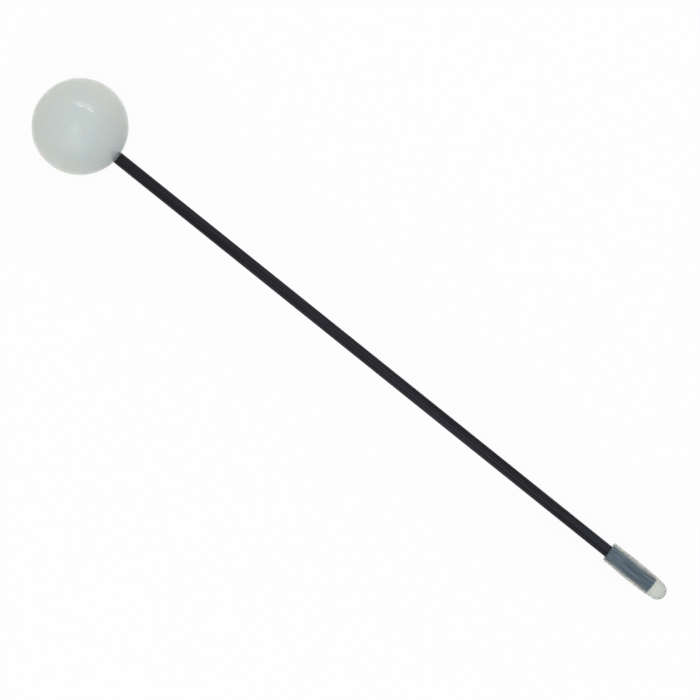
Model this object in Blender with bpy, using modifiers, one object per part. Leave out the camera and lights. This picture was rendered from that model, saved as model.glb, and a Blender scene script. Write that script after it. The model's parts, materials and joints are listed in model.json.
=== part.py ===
"""Friction mallet: a soft silicone ball on a thin, flexible carbon rod.

The ball is bonded over one end of the rod, and a silicone cap is stretched over the other end.
The mallet lies on a table, which is the plane z = 0, with the ball at -X and the cap at +X. The cap
is much thinner than the ball, so the rod slopes down towards it.

Every piece is turned about the rod's own line. That line is the local Z axis of the empty rod_line,
which stands at the ball's centre, and local Z points from the ball to the cap. Outlines are lists of
points (radius, height), where height runs along that line.
"""

import math

import bpy

MM = 0.001

# Rod: pultruded carbon, cut square at both ends
ROD_DIAMETER = 5.0 * MM
ROD_LENGTH = 300.0 * MM
ROD_CHAMFER = 0.3 * MM

# Ball: soft moulded silicone with a blind bore
BALL_DIAMETER = 39.2 * MM
ROD_PAST_CENTRE = 3.0 * MM
BALL_SINK = 0.13 * MM

# Adhesive: a thin cup between the rod's inner end and the ball's bore
BOND_WALL = 0.15 * MM
BOND_FLOOR = 0.3 * MM
BOND_BELOW_MOUTH = 0.25 * MM
BOND_GAP = 0.05 * MM

# Cap: one silicone moulding, narrower than the rod until it is stretched over it
CAP_FREE_DIAMETER = 7.74 * MM
CAP_FREE_BORE = 3.45 * MM
CAP_GRIP = 22.3 * MM
CAP_NOSE = 6.8 * MM
CAP_DOME = 4.2 * MM
CAP_LIP = 0.4 * MM
CAP_BULGE = 0.19 * MM
CAP_BULGE_FROM_MOUTH = 12.2 * MM
CAP_BULGE_REACH = 10.0 * MM
CAP_SHOULDER_BEFORE_END = 1.4 * MM
CAP_SHOULDER = 3.2 * MM
CAP_FIT = 0.05 * MM

# Fineness of the turned surfaces
SIDES = 64
BALL_STEPS = 30
WALL_STEPS = 12
SHOULDER_STEPS = 5
DOME_STEPS = 10
LIP_STEPS = 4
MERGE_DISTANCE = 0.002 * MM
SHARP_ANGLE = math.radians(30.0)

# Sizes that follow from those above. Heights count from the ball's centre.
ROD_RADIUS = ROD_DIAMETER / 2
BALL_RADIUS = BALL_DIAMETER / 2
BALL_HEIGHT = BALL_RADIUS - BALL_SINK
ROD_INNER_END = -ROD_PAST_CENTRE
ROD_OUTER_END = ROD_INNER_END + ROD_LENGTH
BOND_INNER_RADIUS = ROD_RADIUS + BOND_GAP
BOND_OUTER_RADIUS = BOND_INNER_RADIUS + BOND_WALL
BALL_BORE_RADIUS = BOND_OUTER_RADIUS + BOND_GAP
BOND_INSIDE_END = ROD_INNER_END - BOND_GAP
BOND_OUTSIDE_END = BOND_INSIDE_END - BOND_FLOOR
BALL_BORE_END = BOND_OUTSIDE_END - BOND_GAP
BALL_MOUTH = math.sqrt(BALL_RADIUS**2 - BALL_BORE_RADIUS**2)
CAP_MOUTH = ROD_OUTER_END - CAP_GRIP
CAP_FREE_RADIUS = CAP_FREE_DIAMETER / 2
CAP_BORE_RADIUS = ROD_RADIUS + CAP_FIT
# Stretching keeps the silicone's cross-section, so the wall gets thinner as the bore opens.
CAP_STRETCHED_RADIUS = math.sqrt(ROD_RADIUS**2 + CAP_FREE_RADIUS**2 - (CAP_FREE_BORE / 2) ** 2)


def arc(centre, radii, start, end, steps):
    """Points on a round or oval arc. Angles are in degrees from the rod's line, at the cap's side."""
    points = []
    for step in range(steps + 1):
        angle = math.radians(start + (end - start) * step / steps)
        radius = centre[0] + radii[0] * math.sin(angle)
        height = centre[1] + radii[1] * math.cos(angle)
        points.append((radius, height))
    return points


def eased(share):
    """A share from 0 to 1 that starts and ends gently."""
    return 0.5 - 0.5 * math.cos(math.pi * share)


def rod_outline():
    """A plain round bar with a small chamfer at each end."""
    small = ROD_RADIUS - ROD_CHAMFER
    return [
        (0.0, ROD_OUTER_END),
        (small, ROD_OUTER_END),
        (ROD_RADIUS, ROD_OUTER_END - ROD_CHAMFER),
        (ROD_RADIUS, ROD_INNER_END + ROD_CHAMFER),
        (small, ROD_INNER_END),
        (0.0, ROD_INNER_END),
    ]


def ball_outline():
    """A ball with a flat-ended blind bore, which opens towards the cap."""
    mouth_angle = math.degrees(math.asin(BALL_BORE_RADIUS / BALL_RADIUS))
    bore = [(0.0, BALL_BORE_END), (BALL_BORE_RADIUS, BALL_BORE_END)]
    return bore + arc((0.0, 0.0), (BALL_RADIUS, BALL_RADIUS), mouth_angle, 180.0, BALL_STEPS)


def bond_outline():
    """A thin cup of adhesive round the rod's inner end."""
    top = BALL_MOUTH - BOND_BELOW_MOUTH
    return [
        (0.0, BOND_INSIDE_END),
        (BOND_INNER_RADIUS, BOND_INSIDE_END),
        (BOND_INNER_RADIUS, top),
        (BOND_OUTER_RADIUS, top),
        (BOND_OUTER_RADIUS, BOND_OUTSIDE_END),
        (0.0, BOND_OUTSIDE_END),
    ]


def cap_wall_radius(height):
    """Outer radius of the stretched wall, with the bulge left where the cap was pushed up the rod."""
    away = min(abs(height - CAP_MOUTH - CAP_BULGE_FROM_MOUTH) / CAP_BULGE_REACH, 1.0)
    return CAP_STRETCHED_RADIUS + CAP_BULGE * (1.0 - eased(away))


def cap_outside():
    """The cap's outer outline, from the tip of its nose to the flat of its mouth."""
    tip = ROD_OUTER_END + CAP_NOSE
    shoulder = ROD_OUTER_END - CAP_SHOULDER_BEFORE_END
    shoulder_radius = cap_wall_radius(shoulder)
    points = arc((0.0, tip - CAP_DOME), (CAP_FREE_RADIUS, CAP_DOME), 0.0, 90.0, DOME_STEPS)
    for step in range(SHOULDER_STEPS):
        share = step / SHOULDER_STEPS
        radius = CAP_FREE_RADIUS + (shoulder_radius - CAP_FREE_RADIUS) * eased(share)
        points.append((radius, shoulder + CAP_SHOULDER * (1.0 - share)))
    lip_top = CAP_MOUTH + CAP_LIP
    for step in range(WALL_STEPS):
        height = shoulder + (lip_top - shoulder) * step / WALL_STEPS
        points.append((cap_wall_radius(height), height))
    lip_centre = (cap_wall_radius(lip_top) - CAP_LIP, lip_top)
    return points + arc(lip_centre, (CAP_LIP, CAP_LIP), 90.0, 180.0, LIP_STEPS)


def cap_outline():
    """A closed-end cap whose bore follows the rod's end and its chamfer."""
    floor = ROD_OUTER_END + CAP_FIT
    corner = ROD_CHAMFER
    bore = [
        (CAP_BORE_RADIUS, CAP_MOUTH),
        (CAP_BORE_RADIUS, floor - corner),
        (CAP_BORE_RADIUS - corner, floor),
        (0.0, floor),
    ]
    return cap_outside() + bore


def slope_down(outline):
    """How steeply the rod lies when the ball and the first ring of this outline touch the table."""
    slopes = []
    for radius, height in outline:
        flat_radius = radius * math.cos(math.pi / SIDES)
        reach = math.hypot(flat_radius, height)
        slopes.append(math.asin(BALL_HEIGHT / reach) - math.atan2(flat_radius, height))
    return min(slopes)


def finish(name, colour, roughness, transmission=0.0):
    """A plain material for one piece."""
    material = bpy.data.materials.new(name)
    material.use_nodes = True
    shader = material.node_tree.nodes["Principled BSDF"]
    shader.inputs["Base Color"].default_value = (*colour, 1.0)
    shader.inputs["Roughness"].default_value = roughness
    shader.inputs["Metallic"].default_value = 0.0
    shader.inputs["Transmission Weight"].default_value = transmission
    material.diffuse_color = (*colour, 1.0)
    return material


def new_collection(name):
    """A collection in the scene."""
    group = bpy.data.collections.new(name)
    bpy.context.scene.collection.children.link(group)
    return group


def turned(name, outline, material, group, line, origin_height=0.0):
    """A solid turned about the rod's line, with its origin on that line and a flat facing down."""
    points = [(radius, 0.0, height - origin_height) for radius, height in outline]
    edges = [(i, i + 1) for i in range(len(points) - 1)]
    mesh = bpy.data.meshes.new(name)
    mesh.from_pydata(points, edges, [])
    piece = bpy.data.objects.new(name, mesh)
    group.objects.link(piece)
    turn = piece.modifiers.new("Turn", "SCREW")
    turn.axis = "Z"
    turn.steps = SIDES
    turn.render_steps = SIDES
    turn.use_merge_vertices = True
    turn.merge_threshold = MERGE_DISTANCE
    depsgraph = bpy.context.evaluated_depsgraph_get()
    solid = bpy.data.meshes.new_from_object(piece.evaluated_get(depsgraph))
    piece.modifiers.clear()
    piece.data = solid
    bpy.data.meshes.remove(mesh)
    solid.name = name
    solid.shade_smooth()
    solid.set_sharp_from_angle(angle=SHARP_ANGLE)
    solid.materials.clear()
    solid.materials.append(material)
    piece.parent = line
    piece.location = (0.0, 0.0, origin_height)
    piece.rotation_euler = (0.0, 0.0, math.pi / SIDES)
    return piece


def add_line(group, slope, middle):
    """The empty that holds the rod's line, so that the whole mallet stands over the origin."""
    line = bpy.data.objects.new("rod_line", None)
    group.objects.link(line)
    line.empty_display_type = "SINGLE_ARROW"
    line.empty_display_size = ROD_LENGTH
    line.location = (-middle, 0.0, BALL_HEIGHT)
    line.rotation_euler = (0.0, math.pi / 2 + slope, 0.0)
    return line


def add_table_block(group, ball_x):
    """A block as wide as the ball, whose top is the table. It flattens the ball where it rests."""
    bpy.ops.mesh.primitive_cube_add(size=BALL_DIAMETER, location=(ball_x, 0.0, -BALL_RADIUS))
    block = bpy.context.object
    block.name = "table_block"
    for owner in list(block.users_collection):
        owner.objects.unlink(block)
    group.objects.link(block)
    block.hide_render = True
    block.display_type = "WIRE"
    return block


def build():
    """The whole mallet."""
    for thing in list(bpy.data.objects):
        bpy.data.objects.remove(thing, do_unlink=True)
    mallet = new_collection("friction_mallet")
    cutters = new_collection("cutters")

    cap_points = cap_outline()
    slope = slope_down(cap_outside())
    rightmost = max(h * math.cos(slope) + r * math.sin(slope) for r, h in cap_outside())
    middle = (rightmost - BALL_RADIUS) / 2
    line = add_line(mallet, slope, middle)

    milky = finish("milky_silicone", (0.52, 0.58, 0.57), 0.35)
    clear = finish("clear_silicone", (0.42, 0.47, 0.46), 0.35, transmission=0.6)
    carbon = finish("carbon", (0.022, 0.021, 0.027), 0.4)
    adhesive = finish("adhesive", (0.45, 0.48, 0.46), 0.5)

    ball = turned("ball_head", ball_outline(), milky, mallet, line)
    turned("carbon_rod", rod_outline(), carbon, mallet, line)
    turned("head_bond", bond_outline(), adhesive, mallet, line)
    turned("end_cap", cap_points, clear, mallet, line, origin_height=CAP_MOUTH)

    rest = ball.modifiers.new("Rest", "BOOLEAN")
    rest.operation = "DIFFERENCE"
    rest.solver = "EXACT"
    rest.object = add_table_block(cutters, -middle)


build()
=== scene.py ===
"""Friction mallet: the finished look of its silicone ball, carbon rod and silicone end cap.

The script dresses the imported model. Each piece is turned about the rod's own line and then given
what a moulded or pultruded piece has: a seam, a soft contact with the table, a cut that isn't quite
square. Lengths are in metres. Heights count along the rod from the ball's centre.
"""

import json
import math

import bmesh
import bpy
from mathutils import Matrix, Vector, noise


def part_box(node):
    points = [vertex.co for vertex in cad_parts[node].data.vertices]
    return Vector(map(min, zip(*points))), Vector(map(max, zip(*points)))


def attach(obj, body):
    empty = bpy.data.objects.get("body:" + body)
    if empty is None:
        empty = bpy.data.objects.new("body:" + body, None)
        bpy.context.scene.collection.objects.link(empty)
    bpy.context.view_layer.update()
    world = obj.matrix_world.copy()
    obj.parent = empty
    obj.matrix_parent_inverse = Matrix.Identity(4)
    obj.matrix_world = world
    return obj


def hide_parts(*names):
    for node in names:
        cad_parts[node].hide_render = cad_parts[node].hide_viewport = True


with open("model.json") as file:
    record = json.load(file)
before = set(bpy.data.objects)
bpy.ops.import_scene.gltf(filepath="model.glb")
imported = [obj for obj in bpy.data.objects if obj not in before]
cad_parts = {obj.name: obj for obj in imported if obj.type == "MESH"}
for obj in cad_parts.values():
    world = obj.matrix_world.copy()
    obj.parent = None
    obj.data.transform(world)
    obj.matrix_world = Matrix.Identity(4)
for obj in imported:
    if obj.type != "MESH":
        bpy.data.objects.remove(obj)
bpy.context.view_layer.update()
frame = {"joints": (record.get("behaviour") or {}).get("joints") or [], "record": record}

bl_info = {
    "name": "Friction Mallet",
    "version": (1, 0, 0),
    "blender": (4, 5, 0),
    "location": "View3D > Sidebar > Mallet",
    "description": "Builds a friction mallet: silicone ball, carbon rod and silicone end cap",
    "category": "Object",
}

MM = 0.001

# Where two points of the mallet lie in the photograph, in pixels of a square picture
PICTURE_SIDE = 700
BALL_PIXEL = Vector((79.61, 127.13))
TIP_PIXEL = Vector((664.38, 596.48))
SENSOR = 36.0


def rod_line():
    """The rod's line: its origin is the ball's centre, Z points to the cap and X away from the table."""
    along = Vector(frame["joints"][0]["axis"]).normalized()
    low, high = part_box("carbon_rod")
    middle = (low + high) / 2
    ball_x = frame["record"]["mounts"][0]["pos_m"][0]
    centre = middle + along * ((ball_x - middle.x) / along.x)
    side = Vector((0.0, -1.0, 0.0))
    away = side.cross(along)
    return Matrix.Translation(centre) @ Matrix((away, side, along)).transposed().to_4x4()


LINE = rod_line()


class Socket:
    """An output of a shader node. Maths written with it adds the Math nodes that it needs."""

    def __init__(self, finish, source):
        self.finish = finish
        self.source = source

    def maths(self, operation, first, second):
        return self.finish.node("Math", {"operation": operation}, {0: first, 1: second})

    def __add__(self, other):
        return self.maths("ADD", self, other)

    def __radd__(self, other):
        return self.maths("ADD", other, self)

    def __sub__(self, other):
        return self.maths("SUBTRACT", self, other)

    def __rsub__(self, other):
        return self.maths("SUBTRACT", other, self)

    def __mul__(self, other):
        return self.maths("MULTIPLY", self, other)

    def __rmul__(self, other):
        return self.maths("MULTIPLY", other, self)


class Finish:
    """The nodes of a material or of the world."""

    def __init__(self, owner):
        owner.use_nodes = True
        self.owner = owner
        self.tree = owner.node_tree
        self.tree.nodes.clear()

    def node(self, kind, settings=None, inputs=None, output=0):
        """A new node. Its settings are set first, then its sockets; gives one of its outputs."""
        made = self.tree.nodes.new("ShaderNode" + kind)
        for name, value in (settings or {}).items():
            setattr(made, name, value)
        for name, value in (inputs or {}).items():
            socket = self.pick(made.inputs, name)
            if isinstance(value, Socket):
                self.tree.links.new(value.source, socket)
            else:
                socket.default_value = value
        if len(made.outputs) == 0:
            return None
        return Socket(self, self.pick(made.outputs, output))

    def pick(self, sockets, name):
        """A socket by its place, or the one in use of those that share a name."""
        if isinstance(name, int):
            return sockets[name]
        return next(socket for socket in sockets if socket.enabled and socket.name == name)

    def blend(self, share, first, second):
        """A colour between two others."""
        values = {"Factor": share, "A": first, "B": second}
        return self.node("Mix", {"data_type": "RGBA"}, values, "Result")

    def step(self, value, start, end, low=0.0, high=1.0):
        """A value that goes gently from low to high as another goes from start to end."""
        values = {"Value": value, "From Min": start, "From Max": end, "To Min": low, "To Max": high}
        return self.node("MapRange", {"interpolation_type": "SMOOTHSTEP"}, values)

    def line_place(self):
        """The point on the piece as the rod's line sees it."""
        place = self.node("TexCoord", output="Object")
        values = {"Location": LINE.to_translation(), "Rotation": LINE.to_euler()}
        return self.node("Mapping", {"vector_type": "TEXTURE"}, {"Vector": place} | values)

    def stretched(self, place, scale):
        """The place with its sides scaled, for patterns that run one way."""
        return self.node("VectorMath", {"operation": "MULTIPLY"}, {0: place, 1: scale})

    def grain(self, place, size, detail=2.0, roughness=0.5):
        """Soft noise from 0 to 1 whose patches are about as large as the given size."""
        values = {"Vector": place, "Scale": 1.0 / size, "Detail": detail, "Roughness": roughness}
        return self.node("TexNoise", {"noise_dimensions": "3D"}, values)

    def dots(self, place, spacing, radius):
        """1 inside small round dots and 0 outside."""
        values = {"Vector": place, "Scale": 1.0 / spacing}
        away = self.node("TexVoronoi", {"feature": "F1"}, values, "Distance")
        return self.step(away, radius / spacing, 0.5 * radius / spacing)

    def painted_rod_shade(self, place, rod, reach):
        """How strongly the painted shade of the rod's dark is laid on the colour: 1 at the rod, less the deeper it
        lies.
        """
        level = self.stretched(place, (1.0, 1.0, 0.0))
        away = self.node("VectorMath", {"operation": "LENGTH"}, {0: level}, "Value")
        depth = away - rod.diameter / 2
        painted_shade = depth.maths("EXPONENT", depth * (-1.0 / reach), 0.0)
        height = self.node("SeparateXYZ", {}, {"Vector": place}, "Z")
        return painted_shade * self.step(height, 0.0, 3.0 * rod.past_centre)

    def bump(self, height, depth):
        """A normal from a height of 0 to 1 that stands for this depth."""
        return self.node("Bump", {}, {"Height": height, "Distance": depth})

    def surface(self, shader):
        self.node("OutputMaterial", {"target": "ALL"}, {"Surface": shader})
        return self.owner


def colour(red, green, blue):
    return (red, green, blue, 1.0)


def milky_silicone(ball, rod):
    """Silicone with a blue haze in it. Light sinks in, and the dark rod drinks some of it; round the rod's mouth
    its dark is also painted shade in the colour, and the warmer sides are painted rim light.
    """
    finish = Finish(bpy.data.materials.new("milky_silicone"))
    place = finish.line_place()
    cloud = finish.grain(place, 22.0 * MM)
    flecks = finish.dots(place, 2.6 * MM, 0.16 * MM)
    # Painted rim light: the colour turns warmer towards the ball's sides and stays cool at the top, standing in
    # for light that comes through the thin edge; random warm patches are mixed in.
    level = finish.stretched(place, (0.0, 1.0, 1.0))
    painted_rim_light_from_top = finish.node("VectorMath", {"operation": "LENGTH"}, {0: level}, "Value")
    warm_patches_and_painted_rim_light = finish.step(cloud * 0.5 + painted_rim_light_from_top * (1.0 / ball.diameter), 0.35, 0.85)
    body = finish.blend(warm_patches_and_painted_rim_light, colour(*ball.tint), colour(*ball.warm_tint_and_painted_rim_light))
    body = finish.blend(flecks * 0.08, body, colour(0.30, 0.31, 0.29))
    # Painted shade: the base colour is darkened towards blue round the rod's mouth, standing in for the rod's dark
    # seen through the silicone.
    body = finish.blend(finish.painted_rod_shade(place, rod, ball.painted_shade_reach), body, colour(*ball.painted_shade))
    smudge = finish.grain(place, 9.0 * MM, 4.0, 0.6)
    skin = finish.grain(place, 0.9 * MM, 3.0)
    values = {
        "Base Color": body,
        "Roughness": finish.step(smudge, 0.40, 0.75, 0.045, 0.09),
        "IOR": 1.41,
        "Specular IOR Level": 0.42,
        "Subsurface Weight": 1.0,
        "Subsurface Radius": ball.light_reach,
        "Subsurface Scale": MM,
        "Normal": finish.bump(skin, 0.0012 * MM),
    }
    shader = finish.node("BsdfPrincipled", {"subsurface_method": "RANDOM_WALK"}, values)
    return finish.surface(shader)


def carbon(rod):
    """Pultruded carbon: fibres in dark resin, all running along the rod."""
    finish = Finish(bpy.data.materials.new("carbon"))
    place = finish.line_place()
    fibres = finish.grain(finish.stretched(place, (1.0, 1.0, 0.010)), 0.35 * MM, 3.0, 0.65)
    bands = finish.grain(finish.stretched(place, (1.0, 1.0, 0.004)), 0.5 * MM, 1.0)
    streak = finish.step(fibres * 0.45 + bands * 0.55, 0.42, 0.60)
    tone = finish.blend(streak, colour(*rod.tint), colour(*rod.fibre_tint))
    values = {
        "Base Color": tone,
        "Roughness": finish.step(fibres, 0.35, 0.7, 0.55, 0.42),
        "IOR": 1.5,
        "Specular IOR Level": 0.12,
        "Normal": finish.bump(fibres, 0.006 * MM),
    }
    return finish.surface(finish.node("BsdfPrincipled", {}, values))


def adhesive(bond):
    """Clear silicone adhesive, with fine bubbles."""
    finish = Finish(bpy.data.materials.new("adhesive"))
    place = finish.line_place()
    cloud = finish.grain(place, 1.5 * MM, 3.0)
    tone = finish.blend(cloud, colour(*bond.tint), colour(0.62, 0.66, 0.63))
    values = {
        "Base Color": tone,
        "Roughness": finish.step(cloud, 0.3, 0.7, 0.25, 0.45),
        "IOR": 1.41,
        "Transmission Weight": 0.7,
        "Normal": finish.bump(cloud, 0.02 * MM),
    }
    return finish.surface(finish.node("BsdfPrincipled", {}, values))


def clear_silicone(cap):
    """Thin translucent silicone: clear and faintly yellow, with a blue haze over dark things."""
    finish = Finish(bpy.data.materials.new("clear_silicone"))
    place = finish.line_place()
    mottle = finish.grain(finish.stretched(place, (1.0, 1.0, 0.07)), 0.6 * MM, 3.0, 0.6)
    skin = finish.grain(place, 0.35 * MM, 2.0)
    bubbles = finish.dots(place, 1.1 * MM, 0.12 * MM)
    haze = finish.blend(finish.step(mottle, 0.35, 0.66), colour(*cap.haze), colour(*cap.pale_haze))
    haze = finish.blend(bubbles * 0.35, haze, colour(0.75, 0.85, 0.88))
    rough = finish.step(mottle, 0.3, 0.7, 0.42, 0.56)
    normal = finish.bump(skin, 0.0025 * MM)
    clear = {
        "Base Color": colour(*cap.tint),
        "Roughness": rough,
        "IOR": 1.41,
        "Transmission Weight": 1.0,
        "Normal": normal,
    }
    milky = {
        "Base Color": haze,
        "Roughness": rough,
        "IOR": 1.41,
        "Sheen Weight": cap.dust,
        "Sheen Roughness": 0.6,
        "Sheen Tint": colour(0.93, 0.93, 0.86),
        "Normal": normal,
    }
    clear_side = finish.node("BsdfPrincipled", {}, clear)
    milky_side = finish.node("BsdfPrincipled", {}, milky)
    values = {0: cap.haze_share, 1: clear_side, 2: milky_side}
    return finish.surface(finish.node("MixShader", {}, values))


def seen_directly(finish):
    """1 for what the camera sees, also by reflection or through something clear."""
    path = finish.node("LightPath", output="Is Camera Ray").source.node
    rays = [Socket(finish, path.outputs[name]) for name in
            ("Is Camera Ray", "Is Glossy Ray", "Is Transmission Ray")]
    first = rays[0].maths("MAXIMUM", rays[0], rays[1])
    return first.maths("MAXIMUM", first, rays[2])


def white_table(stage):
    """A white table top that keeps a faint shadow."""
    finish = Finish(bpy.data.materials.new("white_table"))
    plain = finish.node("BsdfDiffuse", {}, {"Color": colour(0.80, 0.80, 0.80)})
    white = finish.node("Emission", {}, {"Color": colour(1.0, 1.0, 1.0), "Strength": 1.0})
    share = seen_directly(finish) * stage.whiteness
    return finish.surface(finish.node("MixShader", {}, {0: share, 1: plain, 2: white}))


def studio_world(stage):
    """A white tent round the table: it is brightest overhead and plain white where it is seen."""
    world = bpy.data.worlds.new("studio")
    bpy.context.scene.world = world
    finish = Finish(world)
    direction = finish.node("TexCoord", output="Generated")
    height = finish.node("SeparateXYZ", {}, {"Vector": direction}, "Z")
    tent = finish.step(height, 0.0, 1.0, stage.tent_low, stage.tent_high)
    seen = seen_directly(finish)
    strength = tent + seen * (1.0 - tent)
    light = finish.node("Background", {}, {"Color": colour(1.0, 1.0, 1.0), "Strength": strength})
    finish.node("OutputWorld", {"target": "ALL"}, {"Surface": light})


def arc(centre, radii, start, end, steps):
    """Points (radius, height) on a round or oval arc, with angles in degrees from the rod's line."""
    points = []
    for step in range(steps + 1):
        angle = math.radians(start + (end - start) * step / steps)
        radius = centre[0] + radii[0] * math.sin(angle)
        points.append((max(radius, 0.0), centre[1] + radii[1] * math.cos(angle)))
    return points


def run(start, end, steps):
    """Points on a straight run, without its last one."""
    points = []
    for step in range(steps):
        share = step / steps
        points.append(tuple(a + (b - a) * share for a, b in zip(start, end)))
    return points


def eased(share):
    """A share from 0 to 1 that starts and ends gently."""
    return 0.5 - 0.5 * math.cos(math.pi * min(max(share, 0.0), 1.0))


def even_angles(count):
    return [2.0 * math.pi * step / count for step in range(count)]


def seam_angles(count):
    """Angles round the line that crowd together at both sides, where the ball's mould parts."""
    crowding = 0.3
    angles = []
    for turn in even_angles(count):
        angles.append(turn + crowding * math.sin(2.0 * turn))
    return angles


def turned(name, outline, angles, shape):
    """A closed smooth mesh turned about the rod's line. Shape moves each point before it is placed."""
    solid = bmesh.new()
    rings = []
    for radius, height in outline:
        if radius < 1e-7:
            rings.append([solid.verts.new(shape(Vector((0.0, 0.0, height))))])
            continue
        ring = []
        for angle in angles:
            point = Vector((radius * math.cos(angle), radius * math.sin(angle), height))
            ring.append(solid.verts.new(shape(point)))
        rings.append(ring)
    for near, far in zip(rings, rings[1:]):
        for k in range(len(angles)):
            corners = [near[k % len(near)], near[(k + 1) % len(near)]]
            corners += [far[(k + 1) % len(far)], far[k % len(far)]]
            solid.faces.new(list(dict.fromkeys(corners)))
    bmesh.ops.recalc_face_normals(solid, faces=solid.faces)
    mesh = bpy.data.meshes.new(name)
    solid.to_mesh(mesh)
    solid.free()
    mesh.shade_smooth()
    mesh.set_sharp_from_angle(angle=math.radians(50.0))
    return mesh


def add_piece(name, mesh, material, body, node):
    """Puts a piece in the scene in place of its CAD node."""
    earlier = bpy.data.objects.get(name)
    if earlier:
        bpy.data.objects.remove(earlier, do_unlink=True)
    mesh.materials.append(material)
    piece = bpy.data.objects.new(name, mesh)
    bpy.context.scene.collection.objects.link(piece)
    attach(piece, body)
    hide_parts(node)
    return piece


def soft_on_table(point):
    """The point in the room, kept above the table as soft silicone is."""
    softness = 0.04 * MM
    point = LINE @ point
    point.z = 0.5 * (point.z + math.hypot(point.z, softness))
    return point


def build_ball(ball, rod, bond):
    """The ball, with its bore, its mould seam and the flat on which it rests."""
    radius = ball.diameter / 2
    bore = rod.diameter / 2 + bond.wall
    if bore > 0.5 * radius:
        raise ValueError("the rod and its adhesive are too thick for the ball")
    bore_end = -rod.past_centre - bond.floor
    corner = ball.mouth_rounding
    mouth = math.sqrt(radius**2 - (bore + corner) ** 2)
    start = math.degrees(math.asin((bore + corner) / radius))
    outline = run((0.0, bore_end), (bore, bore_end), 4)
    outline += run((bore, bore_end), (bore, mouth - corner), 40)
    outline += arc((bore + corner, mouth - corner), (corner, corner), -90.0, start, 6)[:-1]
    outline += arc((0.0, 0.0), (radius, radius), start, 180.0, ball.rings)

    def skin(point):
        reach = point.length
        if reach > radius - corner and point.xy.length > bore + 0.5 * corner:
            wave = noise.noise(point / ball.wave_size)
            ridge = math.exp(-((point.x / ball.seam_width) ** 2))
            point = point * (1.0 + (ball.wave * wave + ball.seam_height * ridge) / reach)
            point.y -= ball.off_line * eased((point.xy.length - bore) / ball.off_line_ease)
        return soft_on_table(point)

    return turned("silicone_ball", outline, seam_angles(ball.columns), skin)


def build_rod(rod):
    """The rod, with both ends cut square and their edges broken."""
    radius = rod.diameter / 2
    inner = -rod.past_centre
    outer = inner + rod.length
    edge = rod.edge
    outline = run((0.0, outer), (radius - edge, outer), 4)
    outline += arc((radius - edge, outer - edge), (edge, edge), 0.0, 90.0, 6)
    outline += run((radius, outer - edge), (radius, inner + edge), 60)[1:]
    outline += arc((radius - edge, inner + edge), (edge, edge), 90.0, 180.0, 6)
    outline += run((0.0, inner), (radius - edge, inner), 4)[::-1]
    return turned("pultruded_rod", outline, even_angles(96), lambda point: LINE @ point)


def build_bond(bond, rod, ball):
    """The adhesive between rod and bore, with the small hollow fillet that it leaves at the mouth."""
    inside = rod.diameter / 2 - bond.overlap
    outside = rod.diameter / 2 + bond.wall + bond.overlap
    floor = -rod.past_centre + bond.overlap
    mouth = math.sqrt((ball.diameter / 2) ** 2 - outside**2)
    outline = run((0.0, floor), (inside, floor), 3)
    outline += run((inside, floor), (inside, mouth), 30)
    outline += arc((outside, mouth + bond.fillet), (outside - inside, bond.fillet), 270.0, 180.0, 5)
    outline += run((outside, mouth - bond.overlap), (outside, floor - bond.floor), 30)
    outline += run((outside, floor - bond.floor), (0.0, floor - bond.floor), 3)
    outline += [(0.0, floor - bond.floor)]
    return turned("adhesive_seal", outline, even_angles(96), lambda point: LINE @ point)


def cap_wall_radius(cap, rod, height, mouth):
    """Outer radius of the stretched wall, with the bulge left where the cap was pushed up the rod."""
    free = cap.free_diameter / 2
    stretched = math.sqrt((rod.diameter / 2) ** 2 + free**2 - (cap.free_bore / 2) ** 2)
    away = abs(height - mouth - cap.bulge_from_mouth) / cap.bulge_reach
    return stretched + cap.bulge * (1.0 - eased(away))


def build_cap(cap, rod):
    """The cap: a solid nose, a wall stretched over the rod, and a mouth cut a little out of square."""
    end = rod.length - rod.past_centre
    mouth = end - cap.grip
    tip = end + cap.nose
    free = cap.free_diameter / 2
    if free <= cap.free_bore / 2:
        raise ValueError("the cap's bore is wider than the cap")
    shoulder = end - cap.shoulder_before_end
    wall = cap_wall_radius(cap, rod, shoulder, mouth)
    outline = arc((0.0, tip - cap.dome), (free, cap.dome), 0.0, 90.0, 36)
    for step in range(1, 20):
        share = step / 20
        radius = free + (wall - free) * eased(share)
        outline.append((radius, tip - cap.dome + (shoulder - tip + cap.dome) * share))
    lip = cap.lip
    for step in range(61):
        height = shoulder + (mouth + lip - shoulder) * step / 60
        outline.append((cap_wall_radius(cap, rod, height, mouth), height))
    top = outline[-1][0] - lip
    outline += arc((top, mouth + lip), (lip, lip), 90.0, 180.0, 6)[1:]
    bore = rod.diameter / 2 - cap.overlap
    small = 0.1 * MM
    outline += run((top, mouth), (bore + small, mouth), 4)[1:]
    outline += arc((bore + small, mouth + small), (small, small), 180.0, 270.0, 4)
    corner = rod.edge
    bore_floor = end - cap.overlap
    outline += run((bore, mouth + small), (bore, bore_floor - corner), 50)[1:]
    outline += arc((bore - corner, bore_floor - corner), (corner, corner), 90.0, 0.0, 6)
    outline += run((bore - corner, bore_floor), (0.0, bore_floor), 4)[1:]
    outline += [(0.0, bore_floor)]

    def cut(point):
        near = 1.0 - min((point.z - mouth) / (cap.grip * 0.5), 1.0)
        slant = cap.slant * point.y / wall
        ragged = cap.ragged * noise.noise(Vector((point.x, point.y, 0.0)) / (2.2 * MM))
        point.z += (slant + ragged) * max(near, 0.0) ** 2
        outside = point.xy.length > bore + small or point.z > bore_floor + small
        if outside:
            wave = cap.wave * noise.noise(point / (5.0 * MM))
            point.xy = point.xy * (1.0 + wave / max(point.xy.length, MM))
            full = 1.0 if point.z > bore_floor + small else eased((point.xy.length - bore) / MM)
            point.y -= cap.uneven * full
        return soft_on_table(point)

    return turned("silicone_cap", outline, even_angles(144), cut)


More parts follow.
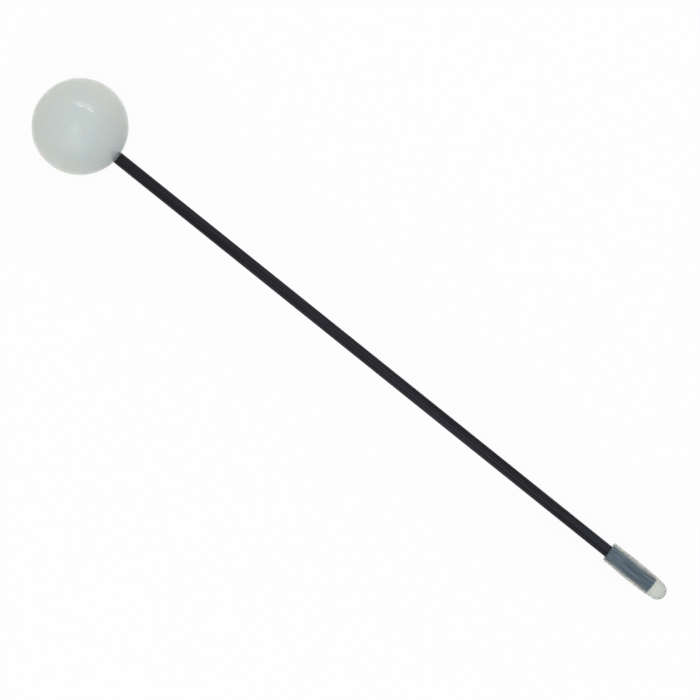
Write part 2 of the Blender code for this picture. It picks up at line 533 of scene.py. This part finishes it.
def length(name, description, default):
    return bpy.props.FloatProperty(
        name=name, description=description, default=default, min=0.0, unit="LENGTH", precision=5
    )


def tint(name, description, default):
    return bpy.props.FloatVectorProperty(
        name=name, description=description, default=default, min=0.0, max=1.0, subtype="COLOR"
    )


def reach(name, description, default):
    return bpy.props.FloatVectorProperty(name=name, description=description, default=default, min=0.0)


def share(name, description, default, most=1.0):
    return bpy.props.FloatProperty(
        name=name, description=description, default=default, min=0.0, max=most
    )


class BallSettings(bpy.types.PropertyGroup):
    """Sizes and colours of the ball."""

    diameter: length("Diameter", "Ball's diameter", 39.2 * MM)
    mouth_rounding: length("Mouth rounding", "Rounding of the bore's mouth", 0.2 * MM)
    wave: length("Wave", "How far the skin waves in and out", 0.015 * MM)
    wave_size: length("Wave size", "How long a wave of the skin is", 14.0 * MM)
    seam_width: length("Seam width", "Half the width of the mould's seam", 0.12 * MM)
    seam_height: length("Seam height", "How far the mould's seam stands proud", 0.045 * MM)
    columns: bpy.props.IntProperty(name="Columns", description="Faces round the ball", default=256)
    rings: bpy.props.IntProperty(name="Rings", description="Faces from mouth to far end", default=128)
    tint: tint("Tint", "Cool colour of the silicone", (0.552, 0.612, 0.605))
    # Warm tint: the colour of random warm patches, and of the painted rim light towards the ball's sides.
    warm_tint_and_painted_rim_light: tint("Warm tint", "Warm colour of the silicone", (0.572, 0.600, 0.562))
    # Painted shade: colour and depth of the rod's dark, painted into the ball's base colour.
    painted_shade: tint("Shade", "Colour of the rod's dark through the silicone", (0.005, 0.09, 0.16))
    painted_shade_reach: length("Shade reach", "Depth at which the rod is about two thirds hidden", 5.0 * MM)
    light_reach: reach("Light reach", "How far red, green and blue light travels, in millimetres", (4.0, 2.5, 1.5))
    off_line: length("Off line", "How far the ball's middle lies off the rod's line", 0.3 * MM)
    off_line_ease: length("Off line ease", "Width round the bore over which this starts", 6.0 * MM)


class RodSettings(bpy.types.PropertyGroup):
    """Sizes and colours of the rod."""

    diameter: length("Diameter", "Rod's diameter", 5.0 * MM)
    length: length("Length", "Rod's length", 300.0 * MM)
    past_centre: length("Past centre", "How far it runs past the ball's centre", 3.0 * MM)
    edge: length("Edge", "Rounding of the cut ends' edges", 0.3 * MM)
    tint: tint("Tint", "Dark resin", (0.0040, 0.0040, 0.0055))
    fibre_tint: tint("Fibre tint", "Fibre that catches the light", (0.0200, 0.0215, 0.0310))


class BondSettings(bpy.types.PropertyGroup):
    """Sizes and colour of the adhesive."""

    wall: length("Wall", "Thickness between rod and bore", 0.25 * MM)
    floor: length("Floor", "Thickness under the rod's end", 0.4 * MM)
    fillet: length("Fillet", "How far the adhesive climbs the rod at the mouth", 0.35 * MM)
    overlap: length("Overlap", "How far it keys into what it sticks to", 0.01 * MM)
    tint: tint("Tint", "Colour of the adhesive", (0.50, 0.54, 0.52))


class CapSettings(bpy.types.PropertyGroup):
    """Sizes and colours of the cap."""

    free_diameter: length("Free diameter", "Diameter before it is stretched", 7.6 * MM)
    free_bore: length("Free bore", "Bore before it is stretched", 3.45 * MM)
    grip: length("Grip", "Length drawn over the rod", 22.3 * MM)
    nose: length("Nose", "Length past the rod's end", 6.8 * MM)
    dome: length("Dome", "Height of the rounded tip", 4.2 * MM)
    lip: length("Lip", "Rounding of the mouth", 0.4 * MM)
    bulge: length("Bulge", "Extra thickness where the wall was pushed up", 0.19 * MM)
    bulge_from_mouth: length("Bulge place", "Distance of the bulge from the mouth", 12.2 * MM)
    bulge_reach: length("Bulge reach", "How far the bulge runs each way", 10.0 * MM)
    shoulder_before_end: length("Shoulder place", "Start of the narrowing, before the rod's end", 1.4 * MM)
    overlap: length("Overlap", "How tightly it lies on the rod", 0.02 * MM)
    slant: length("Slant", "How far the mouth is out of square", 0.28 * MM)
    ragged: length("Ragged", "Roughness of the mouth's cut", 0.08 * MM)
    wave: length("Wave", "How far the skin waves in and out", 0.008 * MM)
    uneven: length("Uneven", "How far the outside lies off the bore's line", 0.12 * MM)
    tint: tint("Tint", "Colour of light that comes through", (0.81, 0.785, 0.65))
    haze: tint("Haze", "Blue haze of the silicone", (0.06, 0.20, 0.35))
    pale_haze: tint("Pale haze", "Haze where the wall lies less tightly", (0.44, 0.66, 0.87))
    haze_share: share("Haze share", "Share of light that the haze sends back", 0.18)
    dust: share("Dust", "Fine dust that shows where the skin is seen along its length", 1.0)


class StageSettings(bpy.types.PropertyGroup):
    """The table, the light and the camera."""

    table: length("Table", "Side of the table top", 6.0)
    camera_height: length("Camera height", "Height of the camera over the table", 3.0)
    whiteness: share("Whiteness", "How far the table is plain white where it is seen", 0.93)
    tent_low: share("Tent low", "Brightness of the tent at the table's level", 0.58)
    tent_high: share("Tent high", "Brightness of the tent overhead", 0.79)
    lamp_distance: length("Lamp distance", "Distance of the lamps from the ball", 2.4)
    tube_radiance: share("Tube brightness", "Brightness of the two tubes, white being 1", 8.0, 50.0)
    patch_radiance: share("Reflector brightness", "Brightness of the reflector, white being 1", 1.4, 50.0)
    fill_radiance: share("Fill brightness", "Brightness of the soft fill, white being 1", 0.7, 50.0)


def camera_fit(height):
    """Focal length in pixels, turn and place of a camera that looks straight down on the mallet."""
    ball = LINE.to_translation()
    cap = bpy.context.scene.mallet_cap
    rod = bpy.context.scene.mallet_rod
    tip = LINE @ Vector((0.0, 0.0, rod.length - rod.past_centre + cap.nose))
    half = PICTURE_SIDE / 2
    ball_ray = Vector((BALL_PIXEL.x - half, half - BALL_PIXEL.y)) * (height - ball.z)
    tip_ray = Vector((TIP_PIXEL.x - half, half - TIP_PIXEL.y)) * (height - tip.z)
    seen = tip_ray - ball_ray
    real = (tip - ball).xy
    focal = seen.length / real.length
    turn = math.atan2(real.y, real.x) - math.atan2(seen.y, seen.x)
    place = ball.xy - Matrix.Rotation(turn, 2) @ ball_ray / focal
    return focal, turn, Vector((place.x, place.y, height))


def add_camera(stage):
    focal, turn, place = camera_fit(stage.camera_height)
    data = bpy.data.cameras.new("camera")
    data.sensor_width = SENSOR
    data.lens = focal * SENSOR / PICTURE_SIDE
    camera = bpy.data.objects.new("camera", data)
    camera.location = place
    camera.rotation_euler = (0.0, 0.0, turn)
    bpy.context.scene.collection.objects.link(camera)
    bpy.context.scene.camera = camera
    return turn


def add_lamp(name, direction, lengthways, distance, spread, radiance, shape="RECTANGLE"):
    """A lamp that lights the ball from a direction. Spread is its length and width in degrees."""
    target = LINE.to_translation()
    towards = direction.normalized()
    side = lengthways - towards * lengthways.dot(towards)
    side.normalize()
    data = bpy.data.lights.new(name, "AREA")
    data.shape = shape
    data.size = 2.0 * distance * math.tan(math.radians(spread[0] / 2))
    data.size_y = 2.0 * distance * math.tan(math.radians(spread[1] / 2))
    area = data.size * data.size_y
    if shape == "ELLIPSE":
        area *= math.pi / 4
    data.energy = radiance * area * 4.0
    lamp = bpy.data.objects.new(name, data)
    turn = Matrix((side, towards.cross(side), towards)).transposed().to_4x4()
    lamp.matrix_world = Matrix.Translation(target + towards * distance) @ turn
    lamp.visible_camera = False
    bpy.context.scene.collection.objects.link(lamp)


def build_stage(stage):
    """The table, the tent, two tubes, a reflector, a soft fill and the camera."""
    bpy.ops.mesh.primitive_plane_add(size=stage.table, location=(0.0, 0.0, -0.02 * MM))
    table = bpy.context.object
    table.name = "white_table"
    table.data.materials.append(white_table(stage))
    studio_world(stage)
    turn = Matrix.Rotation(add_camera(stage), 3, "Z")
    first = turn @ Vector((-0.150, 0.811, 0.549))
    last = turn @ Vector((0.611, 0.520, 0.620))
    middle = (first + last).normalized()
    across = middle.cross(last - first).normalized()
    for number, lean in ((1, -3.5), (2, 3.5)):
        direction = middle + across * math.tan(math.radians(lean))
        add_lamp(f"tube_{number}", direction, last - first, stage.lamp_distance, (50.0, 2.4),
                 stage.tube_radiance)
    reflector = turn @ Vector((-0.17, -0.20, 0.96))
    add_lamp("reflector", reflector, turn @ Vector((0.0, 1.0, 0.0)), stage.lamp_distance,
             (32.0, 26.0), stage.patch_radiance, "ELLIPSE")
    fill = turn @ Vector((-0.20, -0.70, 0.68))
    add_lamp("fill", fill, turn @ Vector((1.0, 0.0, 0.0)), stage.lamp_distance, (60.0, 40.0),
             stage.fill_radiance, "ELLIPSE")
    bpy.context.scene.view_settings.view_transform = "Standard"


class MALLET_OT_ball(bpy.types.Operator):
    """Build the silicone ball"""

    bl_idname = "mallet.ball"
    bl_label = "Ball"

    def execute(self, context):
        ball = context.scene.mallet_ball
        rod = context.scene.mallet_rod
        mesh = build_ball(ball, rod, context.scene.mallet_bond)
        add_piece("silicone_ball", mesh, milky_silicone(ball, rod), "mallet", "ball_head")
        return {"FINISHED"}


class MALLET_OT_rod(bpy.types.Operator):
    """Build the carbon rod"""

    bl_idname = "mallet.rod"
    bl_label = "Rod"

    def execute(self, context):
        rod = context.scene.mallet_rod
        add_piece("pultruded_rod", build_rod(rod), carbon(rod), "mallet", "carbon_rod")
        return {"FINISHED"}


class MALLET_OT_bond(bpy.types.Operator):
    """Build the adhesive that holds the rod in the ball"""

    bl_idname = "mallet.bond"
    bl_label = "Adhesive"

    def execute(self, context):
        bond = context.scene.mallet_bond
        mesh = build_bond(bond, context.scene.mallet_rod, context.scene.mallet_ball)
        add_piece("adhesive_seal", mesh, adhesive(bond), "mallet", "head_bond")
        return {"FINISHED"}


class MALLET_OT_cap(bpy.types.Operator):
    """Build the silicone cap"""

    bl_idname = "mallet.cap"
    bl_label = "Cap"

    def execute(self, context):
        cap = context.scene.mallet_cap
        mesh = build_cap(cap, context.scene.mallet_rod)
        add_piece("silicone_cap", mesh, clear_silicone(cap), "cap", "end_cap")
        return {"FINISHED"}


class MALLET_OT_stage(bpy.types.Operator):
    """Build the table, the light and the camera"""

    bl_idname = "mallet.stage"
    bl_label = "Stage"

    def execute(self, context):
        build_stage(context.scene.mallet_stage)
        return {"FINISHED"}


class MALLET_PT_sidebar(bpy.types.Panel):
    """The mallet's pieces and their settings"""

    bl_idname = "MALLET_PT_sidebar"
    bl_label = "Friction Mallet"
    bl_space_type = "VIEW_3D"
    bl_region_type = "UI"
    bl_category = "Mallet"

    def draw(self, context):
        for part, settings in SETTINGS.items():
            box = self.layout.box()
            box.operator(f"mallet.{part}")
            group = getattr(context.scene, f"mallet_{part}")
            for name in settings.__annotations__:
                box.prop(group, name)


SETTINGS = {
    "ball": BallSettings,
    "rod": RodSettings,
    "bond": BondSettings,
    "cap": CapSettings,
    "stage": StageSettings,
}

CLASSES = [
    *SETTINGS.values(),
    MALLET_OT_ball,
    MALLET_OT_rod,
    MALLET_OT_bond,
    MALLET_OT_cap,
    MALLET_OT_stage,
    MALLET_PT_sidebar,
]


def register():
    for cls in CLASSES:
        bpy.utils.register_class(cls)
    for part, settings in SETTINGS.items():
        setattr(bpy.types.Scene, f"mallet_{part}", bpy.props.PointerProperty(type=settings))


def unregister():
    for part in SETTINGS:
        delattr(bpy.types.Scene, f"mallet_{part}")
    for cls in reversed(CLASSES):
        bpy.utils.unregister_class(cls)


def main():
    register()
    bpy.ops.mallet.ball()
    bpy.ops.mallet.rod()
    bpy.ops.mallet.bond()
    bpy.ops.mallet.cap()
    bpy.ops.mallet.stage()


if __name__ == "__main__":
    main()
